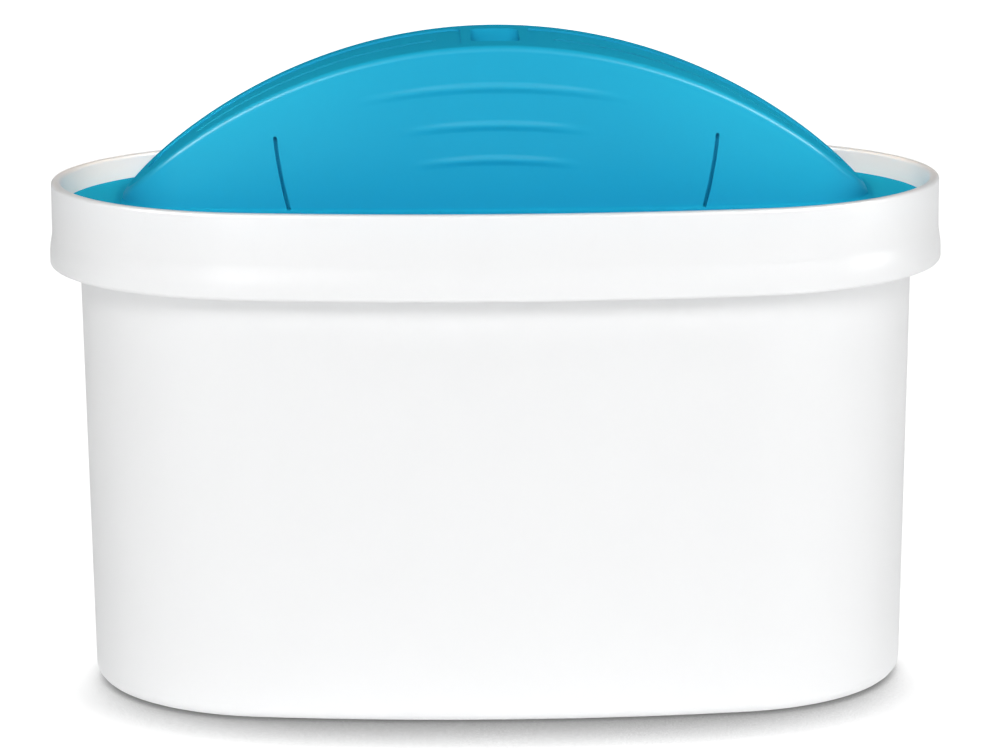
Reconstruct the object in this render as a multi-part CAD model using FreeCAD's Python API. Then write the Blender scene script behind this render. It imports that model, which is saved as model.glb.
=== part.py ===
"""Drop-in water pitcher filter cartridge, in millimetres.

An oval cup with a collar holds the granulate. A lid with a hollow arched grip plugs
into the collar. The origin is under the middle of the foot ring, +X runs along the
length, the front of the grip faces -Y and +Z is up.
"""
import FreeCAD, Part

import math
import os

from FreeCAD import Vector

# Collar outline in plan, an oval of four arcs
collar_half_length = 53.5
collar_half_width = 30.0
collar_side_bow = 2.0

# Collar section
collar_height = 10.1
collar_wall = 1.2
collar_bead_reach = 0.3
collar_bead_height = 2.7
collar_lower_round = 0.5
rim_round = 0.4
ledge_thickness = 1.4

# Cup body below the collar, set in from the collar outline
body_height = 51.2
body_inset_top = 3.3
body_inset_base = 4.2
body_wall = 1.3
neck_round = 0.5
base_round = 2.0

# Foot ring and floor
foot_width = 4.0
floor_height = 3.0
floor_thickness = 1.6

# Outlet windows in the floor
outlet_inset = 12.0
outlet_slot_width = 2.2
outlet_rib_width = 1.4
outlet_bridge_width = 7.0

# What lies inside, from the floor up
outlet_screen_thickness = 0.3
fleece_thickness = 2.0
granulate_headspace = 5.2
inlet_screen_thickness = 0.4
sheet_clearance = 0.15
fill_clearance = 0.1

# Lid flange and its skirt
flange_drop = 2.75
flange_thickness = 1.4
skirt_thickness = 1.2
lid_clearance = 0.1

# Arched grip on the lid
grip_rise = 19.75
grip_end_rise = 1.1
grip_half_length = 45.0
grip_half_width = 10.8
grip_side_bow = 2.3
grip_wall = 1.5
grip_edge_round = 0.8
grip_foot_round = 0.5

# Curved grooves in the front and back of the grip
slit_reach = 26.4
slit_crown_height = 13.5
slit_bend_radius = 50.0
slit_width = 0.45
slit_foot_height = 0.25
slit_top_height = 8.8
slit_depth = 0.9

# Finger beads on the front and back: height over the flange, half length, fall of the ends
bead_rows = [(14.8, 17.0, 1.9), (10.3, 11.6, 0.9), (6.2, 9.9, 0.75)]
bead_proud = 0.25
bead_radius = 0.6

# Crest of the grip: two sunk trays with inlet slots, and a well between them
tray_margin = 3.2
tray_depth = 0.25
tray_corner_round = 1.2
crest_slot_width = 1.8
crest_slot_reach = 36.0
crest_slot_end_gap = 3.0
well_length = 5.8
well_width = 13.4
well_depth = 1.9
well_lean = 1.5
well_corner_round = 1.4
well_wall = 1.2
well_bridge_width = 1.2

# Shares that keep a rounding inside its wall, and how far a cutter passes a face
edge_round_share = 0.4
grip_round_share = 0.6
slot_end_share = 0.49
cutter_overrun = 1.0

# Levels and radii that follow from the sizes above
collar_top = body_height + collar_height
ledge_top = body_height + ledge_thickness
floor_top = floor_height + floor_thickness
outlet_screen_top = floor_top + outlet_screen_thickness
fleece_top = outlet_screen_top + fleece_thickness
granulate_top = ledge_top - granulate_headspace
inlet_screen_top = ledge_top + inlet_screen_thickness
flange_top = collar_top - flange_drop
flange_underside = flange_top - flange_thickness
crest_height = flange_top + grip_rise
arch_drop = grip_rise - grip_end_rise
grip_arch_radius = (grip_half_length**2 + arch_drop**2) / (2 * arch_drop)
arch_axis_height = crest_height - grip_arch_radius
above_all = crest_height + grip_half_width


class Oval:
    """A plan outline of two end arcs and two side arcs that meet tangent to each other.

    The end radius is the half width less side_bow, how far the long sides bow out past it.
    """

    def __init__(self, half_length, half_width, side_bow):
        end_radius = half_width - side_bow
        reach = half_length - end_radius
        side_radius = (reach**2 + half_width**2 - end_radius**2) / (2 * side_bow)
        side_centre = half_width - side_radius
        turn = math.degrees(math.atan2(-side_centre, reach))
        # Each arc: centre x, centre y, radius, start angle, angle swept
        self.arcs = [
            (reach, 0.0, end_radius, -turn, 2 * turn),
            (0.0, side_centre, side_radius, turn, 180 - 2 * turn),
            (-reach, 0.0, end_radius, 180 - turn, 2 * turn),
            (0.0, -side_centre, side_radius, 180 + turn, 180 - 2 * turn),
        ]

    def wire(self, inset, z):
        """The outline moved inwards by inset, at height z."""
        edges = []
        for x, y, radius, start, sweep in self.arcs:
            circle = Part.Circle(Vector(x, y, z), Vector(0, 0, 1), radius - inset)
            first = math.radians(start)
            edges.append(circle.toShape(first, first + math.radians(sweep)))
        return Part.Wire(edges)

    def prism(self, inset, bottom, top):
        """The outline moved inwards by inset, filled from bottom to top."""
        return Part.Face(self.wire(inset, bottom)).extrude(Vector(0, 0, top - bottom))

    def tapered(self, lower_inset, bottom, upper_inset, top):
        """A filled body whose straight sides lean from one inset to the other."""
        wires = [self.wire(lower_inset, bottom), self.wire(upper_inset, top)]
        return Part.makeLoft(wires, True, True)

    def ring(self, corners):
        """The closed section through corners (inset, height, round) carried round the outline."""
        parts = []
        for x, y, radius, start, sweep in self.arcs:
            centre = Vector(x, y, 0)
            outward = Vector(math.cos(math.radians(start)), math.sin(math.radians(start)), 0)
            section = rounded_section(corners, centre, outward, radius)
            parts.append(section.revolve(centre, Vector(0, 0, 1), sweep))
        return parts[0].multiFuse(parts[1:]).removeSplitter()


def rounded_section(corners, centre, outward, radius):
    """A face in the upright plane through centre and outward, its corners rounded."""
    points = [centre + outward * (radius - inset) + Vector(0, 0, z) for inset, z, _ in corners]
    count = len(points)
    edges = []
    starts = []
    ends = []
    for index, (_, _, rounding) in enumerate(corners):
        here = points[index]
        back = (points[index - 1] - here).normalize()
        ahead = (points[(index + 1) % count] - here).normalize()
        half_angle = back.getAngle(ahead) / 2
        reach = rounding / math.tan(half_angle)
        starts.append(here + back * reach)
        ends.append(here + ahead * reach)
    for index, (_, _, rounding) in enumerate(corners):
        here = points[index]
        if rounding > 0:
            inward = (starts[index] + ends[index]) * 0.5 - here
            spread = (starts[index] - here).getAngle(inward)
            middle = here + inward.normalize() * (rounding / math.sin(spread) - rounding)
            edges.append(Part.Arc(starts[index], middle, ends[index]).toShape())
        edges.append(Part.LineSegment(ends[index], starts[(index + 1) % count]).toShape())
    return Part.Face(Part.Wire(edges))


def body_inset_at(z):
    """Inset of the drafted outer body wall at height z."""
    share = z / body_height
    return body_inset_base + (body_inset_top - body_inset_base) * share


collar = Oval(collar_half_length, collar_half_width, collar_side_bow)
grip = Oval(grip_half_length, grip_half_width, grip_side_bow)


def make_cup():
    """Foot ring, drafted wall, ledge, collar and slotted floor, moulded as one piece."""
    edge = min(rim_round, edge_round_share * collar_wall)
    bead_top = body_height + collar_bead_height
    wall = collar.ring([
        (body_inset_base, 0, base_round),
        (body_inset_top, body_height, neck_round),
        (-collar_bead_reach, body_height, collar_lower_round),
        (-collar_bead_reach, bead_top, 0),
        (0, bead_top + collar_bead_reach, 0),
        (0, collar_top, edge),
        (collar_wall, collar_top, edge),
        (collar_wall, ledge_top, 0),
        (body_inset_top + body_wall, ledge_top, 0),
        (body_inset_at(floor_top) + body_wall, floor_top, 0),
        (body_inset_at(floor_top) + foot_width, floor_top, 0),
        (body_inset_base + foot_width, 0, 0),
    ])
    floor = collar.prism(body_inset_base + foot_width / 2, floor_height, floor_top)
    return wall.fuse(floor.cut(make_outlet_slots())).removeSplitter()


def make_outlet_slots():
    """Crosswise slots in the floor, ending on an oval, with a solid bridge in the middle."""
    field = collar.prism(outlet_inset, 0, floor_top + floor_thickness)
    depth = 2 * collar_half_width
    pitch = outlet_slot_width + outlet_rib_width
    reach = collar_half_length - outlet_inset - outlet_rib_width
    first = outlet_bridge_width / 2
    count = int((reach - first + outlet_rib_width) // pitch)
    slots = []
    for index in range(count):
        for x in (first + index * pitch, -first - index * pitch - outlet_slot_width):
            corner = Vector(x, -depth / 2, 0)
            slots.append(Part.makeBox(outlet_slot_width, depth, above_all, corner))
    return field.common(Part.makeCompound(slots))


def make_arch(radius):
    """Everything under an arch of this radius about the grip's own crosswise axis."""
    depth = 2 * collar_half_width
    left = Vector(-radius, -depth / 2, arch_axis_height)
    crown = Vector(0, -depth / 2, arch_axis_height + radius)
    right = Vector(radius, -depth / 2, arch_axis_height)
    bow = Part.Arc(left, crown, right).toShape()
    chord = Part.LineSegment(right, left).toShape()
    return Part.Face(Part.Wire([bow, chord])).extrude(Vector(0, depth, 0))


def make_grip_shell():
    """Outer form of the grip, standing on the flange plate, with rounded edges."""
    solid = grip.prism(0, flange_underside, above_all).common(make_arch(grip_arch_radius))
    rounding = min(grip_edge_round, grip_round_share * grip_wall)
    crest_edges = [edge for edge in solid.Edges if edge.BoundBox.ZMin > flange_top]
    return solid.makeFillet(rounding, crest_edges)


def make_flange():
    """Flange plate with the skirt that plugs into the collar and stands on the screen."""
    outer = collar_wall + lid_clearance
    skirt = collar.ring([
        (outer, flange_top, 0),
        (outer + 2 * skirt_thickness, flange_top, 0),
        (outer + 2 * skirt_thickness, flange_underside, 0),
        (outer + skirt_thickness, flange_underside, 0),
        (outer + skirt_thickness, inlet_screen_top, 0),
        (outer, inlet_screen_top, 0),
    ])
    plate = collar.prism(outer + skirt_thickness, flange_underside, flange_top)
    return skirt.fuse(plate).removeSplitter()


def round_grip_foot(lid):
    """Rounds the hollow corner where the grip rises from the flange."""
    foot = []
    for edge in lid.Edges:
        box = edge.BoundBox
        level = abs(box.ZMin - flange_top) < 0.001 and abs(box.ZMax - flange_top) < 0.001
        inside = max(box.XMax, -box.XMin) < grip_half_length + 0.01
        if level and inside and max(box.YMax, -box.YMin) < grip_half_width + 0.01:
            foot.append(edge)
    return lid.makeFillet(grip_foot_round, foot)


def make_grip_chamber():
    """Hollow under the grip, open downwards, less the walls of the crest well."""
    chamber = grip.prism(grip_wall, flange_underside - cutter_overrun, above_all)
    chamber = chamber.common(make_arch(grip_arch_radius - grip_wall))
    return chamber.cut(make_well(well_wall, well_depth + well_wall, 0))


def make_well(margin, depth, lean):
    """Rounded pocket in the middle of the crest, grown by margin, its end walls leaning out."""
    bottom = crest_height - depth
    top = crest_height + cutter_overrun
    half_length = well_length / 2 + margin
    low = well_width / 2 + margin - lean
    high = well_width / 2 + margin + lean * cutter_overrun / depth
    corners = [
        Vector(-half_length, -low, bottom),
        Vector(-half_length, low, bottom),
        Vector(-half_length, high, top),
        Vector(-half_length, -high, top),
    ]
    profile = Part.Face(Part.makePolygon(corners + corners[:1]))
    pocket = profile.extrude(Vector(2 * half_length, 0, 0))
    corner_edges = [edge for edge in pocket.Edges if edge.BoundBox.ZLength > depth]
    return pocket.makeFillet(well_corner_round + margin, corner_edges)


def make_trays():
    """Two shallow trays along the crest, parted by a bridge that carries the well."""
    start = well_length / 2 + well_bridge_width
    height = above_all - flange_top
    depth = 2 * grip_half_width
    bridge = Part.makeBox(2 * start, depth, height, Vector(-start, -depth / 2, flange_top))
    sunk = grip.prism(tray_margin, flange_top, above_all).cut(bridge)
    corners = []
    for edge in sunk.Edges:
        box = edge.BoundBox
        if box.ZLength > height / 2 and abs(abs(box.Center.x) - start) < 0.001:
            corners.append(edge)
    return sunk.makeFillet(tray_corner_round, corners).cut(make_arch(grip_arch_radius - tray_depth))


def make_crest_slots():
    """One long inlet slot with round ends through the floor of each tray."""
    start = well_length / 2 + well_bridge_width + crest_slot_end_gap
    length = crest_slot_reach - start
    height = above_all - flange_top
    slots = []
    for side in (1, -1):
        left = side * (start + length / 2) - length / 2
        corner = Vector(left, -crest_slot_width / 2, flange_top)
        box = Part.makeBox(length, crest_slot_width, height, corner)
        upright = [edge for edge in box.Edges if edge.BoundBox.ZLength > height / 2]
        slots.append(box.makeFillet(slot_end_share * crest_slot_width, upright))
    return Part.makeCompound(slots)


def make_slits():
    """Four curved grooves that bow outwards, two in the front face and two in the back."""
    crown = flange_top + slit_crown_height
    centre_x = slit_reach - slit_bend_radius
    low = math.asin((slit_foot_height - slit_crown_height) / slit_bend_radius)
    high = math.asin((slit_top_height - slit_crown_height) / slit_bend_radius)
    outer = slit_bend_radius + slit_width / 2
    inner = slit_bend_radius - slit_width / 2

    def at(radius, angle):
        return Vector(centre_x + radius * math.cos(angle), 0, crown + radius * math.sin(angle))

    middle = (low + high) / 2
    cap = high + slit_width / 2 / slit_bend_radius
    edges = [
        Part.Arc(at(outer, low), at(outer, middle), at(outer, high)).toShape(),
        Part.Arc(at(outer, high), at(slit_bend_radius, cap), at(inner, high)).toShape(),
        Part.Arc(at(inner, high), at(inner, middle), at(inner, low)).toShape(),
        Part.LineSegment(at(inner, low), at(outer, low)).toShape(),
    ]
    slit = Part.Face(Part.Wire(edges)).extrude(Vector(0, 2 * grip_half_width, 0))
    slit.translate(Vector(0, -grip_half_width, 0))
    grooves = slit.cut(grip.prism(slit_depth, flange_underside, above_all))
    return Part.makeCompound([grooves, grooves.mirror(Vector(0, 0, 0), Vector(1, 0, 0))])


def face_setback(x):
    """How far the grip's face lies behind its front point at this place along the length."""
    side_radius = grip.arcs[1][2]
    return side_radius - math.sqrt(side_radius**2 - x**2)


def make_bead(height, half_length, fall):
    """A round bead on a tilted ring, so that both ends fall away and sink into the face."""
    sink = face_setback(half_length) + bead_proud
    drop = math.hypot(fall, sink)
    ring_radius = (half_length**2 + drop**2) / (2 * drop)
    up = Vector(0, -sink / drop, fall / drop)
    front = -(grip_half_width + bead_proud - bead_radius)
    apex = Vector(0, front, flange_top + height)
    normal = Vector(1, 0, 0).cross(up)
    ring = Part.makeTorus(ring_radius, bead_radius, apex - up * ring_radius, normal)
    keep_depth = 2 * grip_half_width
    keep = Part.makeBox(2 * half_length, keep_depth, 4 * (fall + bead_radius),
                        Vector(-half_length, -keep_depth, apex.z - 3 * (fall + bead_radius)))
    bead = ring.common(keep)
    return bead.cut(grip.prism(grip_wall / 2, flange_underside, above_all))


def make_beads():
    """Three finger beads on the front face, and their mirror image on the back."""
    front = Part.makeCompound([make_bead(*row) for row in bead_rows])
    return [front, front.mirror(Vector(0, 0, 0), Vector(0, 1, 0))]


def make_lid():
    """Flange, skirt and hollow arched grip, moulded as one piece."""
    lid = make_flange().fuse(make_grip_shell()).removeSplitter()
    lid = round_grip_foot(lid)
    lid = lid.cut(make_grip_chamber())
    for beads in make_beads():
        lid = lid.fuse(beads)
    lid = lid.cut(make_trays())
    lid = lid.cut(make_well(0, well_depth, well_lean))
    lid = lid.cut(make_crest_slots())
    return lid.cut(make_slits())


def make_inlet_screen():
    """Flat woven screen held between the ledge of the cup and the skirt of the lid."""
    inset = collar_wall + sheet_clearance
    return collar.prism(inset, ledge_top, inlet_screen_top)


def inner_body(clearance, bottom, top):
    """What fills the cup between two heights, clear of the drafted wall."""
    lower = body_inset_at(bottom) + body_wall + clearance
    upper = body_inset_at(top) + body_wall + clearance
    return collar.tapered(lower, bottom, upper, top)


def make_parts():
    return {
        "cup": make_cup(),
        "lid": make_lid(),
        "inlet_screen": make_inlet_screen(),
        "granulate_bed": inner_body(fill_clearance, fleece_top, granulate_top),
        "outlet_fleece": inner_body(sheet_clearance, outlet_screen_top, fleece_top),
        "outlet_screen": inner_body(sheet_clearance, floor_top, outlet_screen_top),
    }


os.makedirs("parts", exist_ok=True)
for name, shape in make_parts().items():
    shape.exportStep("parts/" + name + ".step")
    print(name, len(shape.Solids), shape.isValid(), round(shape.Volume, 1), shape.BoundBox)
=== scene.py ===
"""Looks of an oval water pitcher filter cartridge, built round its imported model.

White glossy cup, cyan lid with an arched hollow grip, woven screens, a fleece pad and
the granulate. Lengths are in metres unless a name or comment says otherwise.
"""

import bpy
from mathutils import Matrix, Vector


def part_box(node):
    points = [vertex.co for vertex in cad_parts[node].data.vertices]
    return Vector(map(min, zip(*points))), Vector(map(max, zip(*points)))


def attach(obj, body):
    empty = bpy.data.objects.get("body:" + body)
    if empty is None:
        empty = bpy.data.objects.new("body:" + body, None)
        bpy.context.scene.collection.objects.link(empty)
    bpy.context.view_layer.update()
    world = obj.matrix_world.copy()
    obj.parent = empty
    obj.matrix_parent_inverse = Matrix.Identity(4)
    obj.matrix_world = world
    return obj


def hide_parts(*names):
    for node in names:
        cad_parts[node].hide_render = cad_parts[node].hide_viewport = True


bl_info = {
    "name": "Pitcher filter cartridge",
    "version": (1, 0, 0),
    "blender": (4, 5, 0),
    "location": "3D View > Sidebar > Cartridge",
    "description": "Builds the moulded cup and lid of an oval filter cartridge and their finishes",
    "category": "Object",
}

import math

import bmesh
import bpy
import numpy as np
from bpy.props import FloatProperty, FloatVectorProperty, PointerProperty
from mathutils import Matrix, Vector

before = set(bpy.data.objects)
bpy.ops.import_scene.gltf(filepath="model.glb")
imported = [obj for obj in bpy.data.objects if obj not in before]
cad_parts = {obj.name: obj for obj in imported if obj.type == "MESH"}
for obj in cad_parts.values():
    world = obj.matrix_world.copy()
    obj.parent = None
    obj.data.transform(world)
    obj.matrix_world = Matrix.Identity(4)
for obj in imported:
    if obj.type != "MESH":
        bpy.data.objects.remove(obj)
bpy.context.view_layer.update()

MM = 0.001
BODY = "root"

CUP_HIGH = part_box("cup")[1]
LID_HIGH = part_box("lid")[1]
SCREEN_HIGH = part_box("inlet_screen")[1]

# Lengths in metres that count as nothing: in a test, and between points that are merged
TINY = 1e-9
MERGE_DISTANCE = 1e-7
# Edges sharper than this stay sharp in the shading
SMOOTH_ANGLE = math.radians(32)
# How far a cutter reaches past the surface that it cuts
OVERCUT = 1.0 * MM
# Steps along an end arc and along a side arc of an outline
CUP_STEPS = (110, 60)
LID_STEPS = (44, 124)
TRAY_STEPS = (64, 150)
# Steps of a section's round and of a plan's round corner
SECTION_STEPS = 7
CORNER_STEPS = 8
# Swell over the collar's lower bead: its steps, and the share of its height under the bead's top
FLARE_STEPS = 9
FLARE_UNDER = 0.4
# Rounds inside the cup: at the collar's foot, and on the inner edges of the ledge and the foot ring
COLLAR_FOOT_ROUND = 0.3 * MM
INNER_EDGE_ROUND = 0.4 * MM
# How far the floor plate reaches into the foot ring, and how far its top lies under the ring's
FLOOR_TUCK = 0.6 * MM
FLOOR_SINK = 0.01 * MM
# Corner radius at a slot's ends as a share of its width, just under a half circle
SLOT_END = 0.49
# Points along the lid's section: crest, crest edge, grip wall, grip foot, flange edge, chamber ceiling
CREST_STEPS = 12
EDGE_STEPS = 9
WALL_STEPS = 132
FOOT_STEPS = 6
FLANGE_STEPS = 5
CEILING_STEPS = 8
# Points along a slit's side, and round its top
SLIT_STEPS = 24
SLIT_TOP_STEPS = 9
# Finger beads from the top down: height over the flange, half length, fall at the ends
FINGER_BEADS = (
    (14.8 * MM, 17.0 * MM, 1.9 * MM),
    (10.3 * MM, 11.6 * MM, 0.9 * MM),
    (6.2 * MM, 9.9 * MM, 0.75 * MM),
)
# Length over which the chamber's ceiling comes down to the underside of the well
WELL_EASE = 0.5 * MM
# Height over the flange down to which the inlet slots are cut, inside the chamber
INLET_BOTTOM = 2.0 * MM

# Sockets of a Mix node that share a name: the factor, then numbers and colours, two in and one out
FACTOR = 0
NUMBER_A, NUMBER_B, NUMBER_OUT = 2, 3, 0
COLOUR_A, COLOUR_B, COLOUR_OUT = 6, 7, 2
# Wave length of the Wave texture at scale 1
WAVE_LENGTH = 0.314
# Upward part of the normal over which the lid's skin turns from polished to matt
MATT_SPAN = (0.62, 0.72)
# The table: radius, corners, openness over which its painted shadow fades, darkest painted shade, and
# its glow for the cartridge and for the camera
FLOOR_RADIUS = 6.0
FLOOR_CORNERS = 96
OPEN_SPAN = (0.28, 0.82)
DARKEST = 0.16
TABLE_GLOW = (0.22, 0.85)
# Strength of the white surround for the cartridge and for the camera
WORLD_GLOW = (0.09, 1.0)
# Soft lights: name, place and size in metres, power in watts
SOFT_LIGHTS = (
    ("front", (0.0, -1.3, 0.85), (1.4, 0.5), 11.8),
    ("streak", (-0.75, -1.6, 0.27), (0.3, 0.5), 5.5),
    ("left", (-2.0, -0.3, 0.27), (0.8, 0.5), 1.7),
    ("right", (2.0, -0.2, 0.27), (0.8, 0.5), 11.3),
    ("overhead", (0.0, 0.0, 1.3), (1.6, 1.4), 2.6),
    ("left_kicker", (-0.95, -0.35, 1.0), (0.35, 0.35), 1.5),
    ("right_kicker", (0.95, -0.35, 1.0), (0.35, 0.35), 1.5),
)
# Colour of the narrow lamps
WARM = (1.0, 0.71, 0.48)


def length(name, description, millimetres, low=0.0):
    """A length property in metres, with its default given in millimetres."""
    return FloatProperty(name=name, description=description, default=millimetres * MM, min=low,
                         unit="LENGTH", precision=5)


def tint(name, description, default):
    """A colour property."""
    return FloatVectorProperty(name=name, description=description, default=default, size=3,
                               subtype="COLOR", min=0.0, max=1.0)


class CupSizes(bpy.types.PropertyGroup):
    """Sizes of the moulded cup."""

    bead_reach: length("Bead reach", "How far the collar's lower bead stands out", 0.3)
    bead_height: length("Bead height", "Height of the collar's lower bead", 2.7)
    flare_height: length("Flare height", "Height over which the collar swells out to that bead", 2.6)
    side_bow: length("Side bow", "How far the long sides bow out past the end radius", 2.0)
    collar_height: length("Collar height", "From the collar's underside to its rim", 10.1)
    collar_wall: length("Collar wall", "Wall of the collar", 1.2)
    lower_round: length("Lower round", "Rounding under the collar", 0.5)
    rim_round: length("Rim round", "Rounding of the rim's two edges", 0.4)
    ledge: length("Ledge", "Thickness of the ledge that joins body and collar", 1.4)
    inset_top: length("Inset at the collar", "Set-in of the body under the collar", 3.3)
    inset_base: length("Inset at the base", "Set-in of the body at its foot", 4.2)
    wall: length("Body wall", "Wall of the body", 1.3)
    neck_round: length("Neck round", "Rounding between body and collar", 0.5)
    base_round: length("Base round", "Rounding of the foot's outer edge", 2.0)
    foot_width: length("Foot width", "Width of the foot ring", 4.0)
    floor_height: length("Floor height", "Height of the floor over the foot", 3.0)
    floor_thickness: length("Floor thickness", "Thickness of the floor", 1.6)
    slot_width: length("Outlet slot", "Width of an outlet slot", 2.2)
    rib_width: length("Outlet rib", "Width of the rib between two slots", 1.4)
    bridge_width: length("Outlet bridge", "Width of the solid bridge in the middle", 7.0)
    field_inset: length("Outlet inset", "Set-in of the slotted field from the collar", 12.0)
    colour: tint("Cup colour", "Colour of the white moulding", (0.86, 0.865, 0.87))


class LidSizes(bpy.types.PropertyGroup):
    """Sizes of the moulded lid and its arched grip."""

    clearance: length("Clearance", "Gap between lid and collar", 0.1)
    flange_drop: length("Flange drop", "How far the flange lies under the rim", 2.75)
    flange: length("Flange", "Thickness of the flange", 1.4)
    skirt: length("Skirt", "Thickness of the skirt", 1.2)
    flange_round: length("Flange round", "Rounding of the flange's outer edge", 0.25)
    grip_length: length("Grip length", "Half length of the grip", 45.0)
    grip_width: length("Grip width", "Half width of the grip", 10.8)
    grip_bow: length("Grip bow", "How far the grip's sides bow out", 2.3)
    end_rise: length("End rise", "Height of the grip's end wall over the flange", 1.1)
    wall: length("Grip wall", "Wall of the grip", 1.5)
    edge_round: length("Edge round", "Rounding of the grip's crest edge", 0.8)
    foot_round: length("Foot round", "Rounding at the foot of the grip", 0.5)
    slit_reach: length("Slit reach", "Outermost place of a slit from the middle", 26.4)
    slit_crown: length("Slit crown", "Height over the flange where a slit stands upright", 13.5)
    slit_bend: length("Slit bend", "Radius that a slit bends on", 50.0)
    slit_width: length("Slit width", "Width of a slit", 0.45)
    slit_depth: length("Slit depth", "Depth of a slit in the grip's wall", 0.9)
    slit_foot: length("Slit foot", "Lower end of a slit over the flange", 0.25)
    slit_top: length("Slit top", "Upper end of a slit over the flange", 8.8)
    bead_proud: length("Bead height", "How far a finger bead stands out", 0.25)
    bead_reach: length("Bead reach", "From a finger bead's middle line to where it ends", 0.75)
    tray_margin: length("Tray margin", "Set-in of the crest trays from the grip's outline", 3.2)
    tray_depth: length("Tray depth", "Depth of the crest trays", 0.25)
    tray_round: length("Tray corner", "Corner radius of a tray beside the bridge", 1.2)
    slot_width: length("Crest slot", "Width of the inlet slot in a tray", 1.8)
    slot_reach: length("Slot reach", "Outer end of the inlet slot from the middle", 36.0)
    slot_gap: length("Slot gap", "From the bridge to the inner end of the slot", 3.0)
    well_length: length("Well length", "Size of the crest well along the cartridge", 5.8)
    well_width: length("Well width", "Size of the crest well across the cartridge", 13.4)
    well_depth: length("Well depth", "Depth of the crest well", 1.9)
    well_lean: length("Well lean", "How far the well's end walls lean out over its depth", 1.5)
    well_round: length("Well corner", "Corner radius of the crest well", 1.4)
    well_wall: length("Well wall", "Wall under and beside the well", 1.2)
    bridge: length("Bridge", "Land between the well and each tray", 1.2)
    colour: tint("Lid colour", "Colour of the cyan moulding", (0.0155, 0.415, 0.645))


class FillSizes(bpy.types.PropertyGroup):
    """Scales and colours of what fills the cartridge."""

    weave_pitch: length("Weave pitch", "Thread spacing of the woven screens", 0.35)
    grain: length("Grain", "Size of a resin bead or carbon grain", 0.8)
    screen_colour: tint("Screen colour", "Colour of the woven screens", (0.72, 0.74, 0.74))
    fleece_colour: tint("Fleece colour", "Colour of the fleece pad", (0.80, 0.80, 0.77))
    resin_colour: tint("Resin colour", "Colour of the resin beads", (0.42, 0.20, 0.06))
    carbon_colour: tint("Carbon colour", "Colour of the carbon grains", (0.015, 0.014, 0.013))


class StageSizes(bpy.types.PropertyGroup):
    """Camera and light."""

    distance: length("Camera distance", "From the aim point to the camera", 541.0)
    elevation: FloatProperty(name="Elevation", description="Height angle of the camera",
                             default=math.radians(11.45), subtype="ANGLE")
    turn: FloatProperty(name="Turn", description="Turn of the camera round the cartridge",
                        default=math.radians(-0.99), subtype="ANGLE")
    roll: FloatProperty(name="Roll", description="Roll of the camera about its view line",
                        default=math.radians(-0.32), subtype="ANGLE")
    lens: FloatProperty(name="Lens", description="Focal length for a 36 mm sensor, in millimetres",
                        default=159.9, min=1.0)
    aim_height: length("Aim height", "Height of the point that the camera looks at", 36.4)
    aim_side: length("Aim side", "Sideways place of that point", 0.42, -1.0)


def settings():
    """The scene's property groups, in the order cup, lid, fill, stage."""
    scene = bpy.context.scene
    return scene.cartridge_cup, scene.cartridge_lid, scene.cartridge_fill, scene.cartridge_stage


class Oval:
    """A plan outline of two end arcs and two side arcs, sampled counter-clockwise.

    The end radius is half_width - side_bow and the ends are centred on the long axis. The side
    radius follows from the arcs being tangent: (reach^2 + half_width^2 - r^2) / (2 side_bow).
    A point set in by s lies at centre + (radius - s) * (cos angle, sin angle).
    """

    def __init__(self, half_length, half_width, side_bow, end_steps, side_steps):
        end_radius = half_width - side_bow
        self.reach = half_length - end_radius
        self.side_radius = (self.reach**2 + half_width**2 - end_radius**2) / (2 * side_bow)
        self.side_centre = self.side_radius - half_width
        turn = math.atan2(self.side_centre, self.reach)
        # Each arc: centre x and y, radius, first and last angle, steps
        arcs = (
            (self.reach, 0.0, end_radius, -turn, turn, end_steps),
            (0.0, -self.side_centre, self.side_radius, turn, math.pi - turn, side_steps),
            (-self.reach, 0.0, end_radius, math.pi - turn, math.pi + turn, end_steps),
            (0.0, self.side_centre, self.side_radius, math.pi + turn, 2 * math.pi - turn, side_steps),
        )
        angle = np.concatenate([np.linspace(*arc[3:], endpoint=False) for arc in arcs])
        columns = np.repeat([arc[:3] for arc in arcs], [arc[-1] for arc in arcs], axis=0)
        self.centre_x, self.centre_y, self.radius = columns.T.copy()
        self.cos, self.sin = np.cos(angle), np.sin(angle)
        # On a side arc the inward line meets the long axis at this set-in, on an end arc at its centre
        on_side = self.radius > end_radius + TINY
        lift = np.abs(np.where(on_side, self.sin, 1.0))
        to_axis = self.side_radius - self.side_centre / lift
        self.deepest = np.where(on_side, to_axis, end_radius)

    def at(self, inset):
        """x and y of every column at this set-in, a number or an array per column."""
        reach = self.radius - inset
        return self.centre_x + reach * self.cos, self.centre_y + reach * self.sin


def rounded(corners, steps):
    """Corners (inset, height, round) of a closed section as points, each round a tangent arc.

    The arc's centre lies on the corner's bisector at round / sin(half angle).
    """
    points = np.array([(inset, z) for inset, z, _ in corners])
    result = []
    for index, (_, _, radius) in enumerate(corners):
        here = points[index]
        back = points[index - 1] - here
        ahead = points[(index + 1) % len(points)] - here
        back = back / np.linalg.norm(back)
        ahead = ahead / np.linalg.norm(ahead)
        if radius <= 0:
            result.append(here[None])
            continue
        half = math.acos(np.clip(back @ ahead, -1, 1)) / 2
        middle = back + ahead
        middle = middle / np.linalg.norm(middle)
        centre = here + middle * radius / math.sin(half)
        first = here + back * radius / math.tan(half) - centre
        last = here + ahead * radius / math.tan(half) - centre
        swing = math.atan2(first[0] * last[1] - first[1] * last[0], first @ last)
        turn = np.linspace(0, swing, steps)
        arc = np.stack([first[0] * np.cos(turn) - first[1] * np.sin(turn),
                        first[0] * np.sin(turn) + first[1] * np.cos(turn)], axis=1)
        result.append(centre + arc)
    return np.concatenate(result)


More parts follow.
